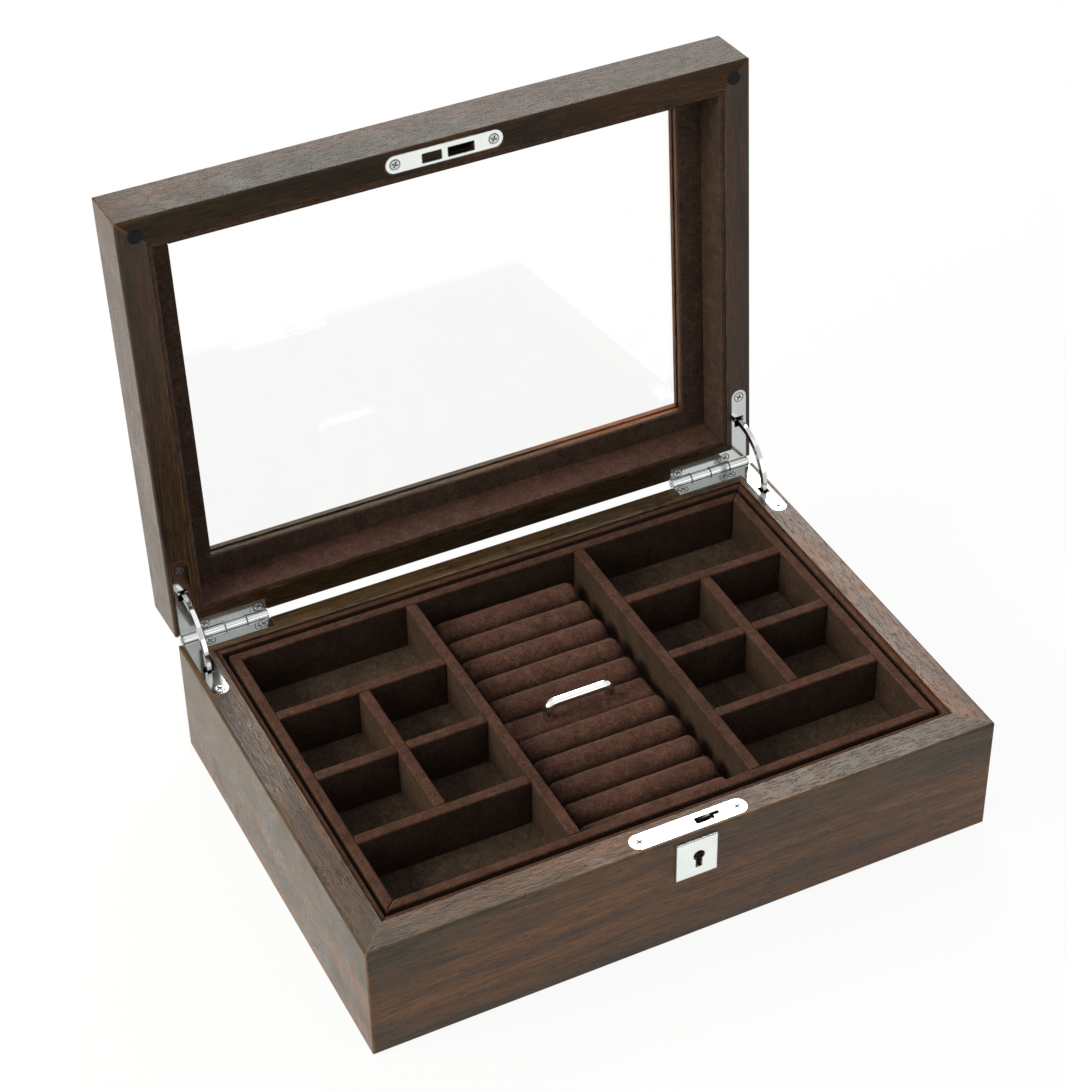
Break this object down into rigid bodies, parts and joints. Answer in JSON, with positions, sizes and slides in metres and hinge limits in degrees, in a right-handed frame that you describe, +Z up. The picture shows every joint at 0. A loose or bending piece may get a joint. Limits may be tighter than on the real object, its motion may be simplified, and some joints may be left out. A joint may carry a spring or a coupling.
{
  "type": "cufflink display box",
  "caption": "Wooden jewellery box with a glazed hinged lid, quadrant stays, a lift-out velvet tray with ring rolls and compartments, and a hook lock.",
  "frame": {"origin": "middle of the box's underside, on the surface it stands on", "axes": "+X to the box's right seen from the front, +Y to the back where the hinges are, +Z up; the lid stands open"},
  "size_m": [0.3, 0.2598, 0.275],
  "materials": {
    "walnut": "satin lacquered walnut veneer",
    "lid_walnut": "satin lacquered dark walnut",
    "plywood": "raw plywood",
    "felt": "short felt",
    "velvet": "short-pile velvet",
    "chrome": "polished nickel plate",
    "lock_steel": "plain steel",
    "glass": "clear glass",
    "bumper": "matt"
  },
  "bodies": {
    "base": {"front_wall": "walnut", "back_wall": "walnut", "left_wall": "walnut", "right_wall": "walnut", "bottom_panel": "plywood", "underside_felt": "felt", "front_liner": "velvet", "back_liner": "velvet", "left_liner": "velvet", "right_liner": "velvet", "storage_floor_pad": "velvet", "tray_ledge_left": "velvet", "tray_ledge_right": "velvet", "base_hinge_leaf_left": "chrome", "base_hinge_leaf_right": "chrome", "hinge_pins": "chrome", "base_hinge_screws": "chrome", "lock_plate": "chrome", "lock_plate_screws": "chrome", "lock_case": "lock_steel", "bolt_pivot": "lock_steel", "detent_spring": "lock_steel", "escutcheon": "chrome"},
    "lid": {"lid_front_rail": "lid_walnut", "lid_back_rail": "lid_walnut", "lid_left_rail": "lid_walnut", "lid_right_rail": "lid_walnut", "window_frame_front": "lid_walnut", "window_frame_back": "lid_walnut", "window_frame_left": "lid_walnut", "window_frame_right": "lid_walnut", "glass_pane": "glass", "window_frame_trim": "velvet", "lid_front_liner": "velvet", "lid_back_liner": "velvet", "lid_left_liner": "velvet", "lid_right_liner": "velvet", "bumper_pads": "bumper", "strike_plate": "chrome", "strike_plate_screws": "chrome", "lid_hinge_leaf_left": "chrome", "lid_hinge_leaf_right": "chrome", "lid_hinge_screws": "chrome"},
    "left_stay": {"stay_left": "chrome"},
    "right_stay": {"stay_right": "chrome"},
    "tray": {"tray_floor": "velvet", "tray_front_wall": "velvet", "tray_back_wall": "velvet", "tray_left_wall": "velvet", "tray_right_wall": "velvet", "long_dividers": "velvet", "cross_dividers_left": "velvet", "cross_dividers_right": "velvet", "short_divider_left": "velvet", "short_divider_right": "velvet", "ring_rolls": "velvet", "handle_strip": "velvet", "tray_handle": "chrome", "handle_screws": "lock_steel"},
    "hook": {"hook_bolt": "lock_steel"}
  },
  "joints": [
    {"name": "lid_hinge", "type": "hinge", "parent": "base", "child": "lid", "pos_m": [0, 0.1083, 0.0608], "axis": [1, 0, 0], "range_deg": [0, 94]},
    {"name": "left_stay_swing", "type": "hinge", "parent": "base", "child": "left_stay", "pos_m": [-0.1436, 0.1083, 0.0608], "axis": [1, 0, 0], "range_deg": [0, 47]},
    {"name": "right_stay_swing", "type": "hinge", "parent": "base", "child": "right_stay", "pos_m": [0.1436, 0.1083, 0.0608], "axis": [1, 0, 0], "range_deg": [0, 47]},
    {"name": "tray_lift", "type": "slide", "parent": "base", "child": "tray", "axis": [0, 0, 1], "range_m": [0, 0.065]},
    {"name": "hook_turn", "type": "hinge", "parent": "base", "child": "hook", "pos_m": [-0.009, -0.1, 0.045], "axis": [0, -1, 0], "range_deg": [0, 37]}
  ],
  "couplings": [
    {"joint": "left_stay_swing", "follows": "lid_hinge", "ratio": 0.5},
    {"joint": "right_stay_swing", "follows": "lid_hinge", "ratio": 0.5}
  ]
}
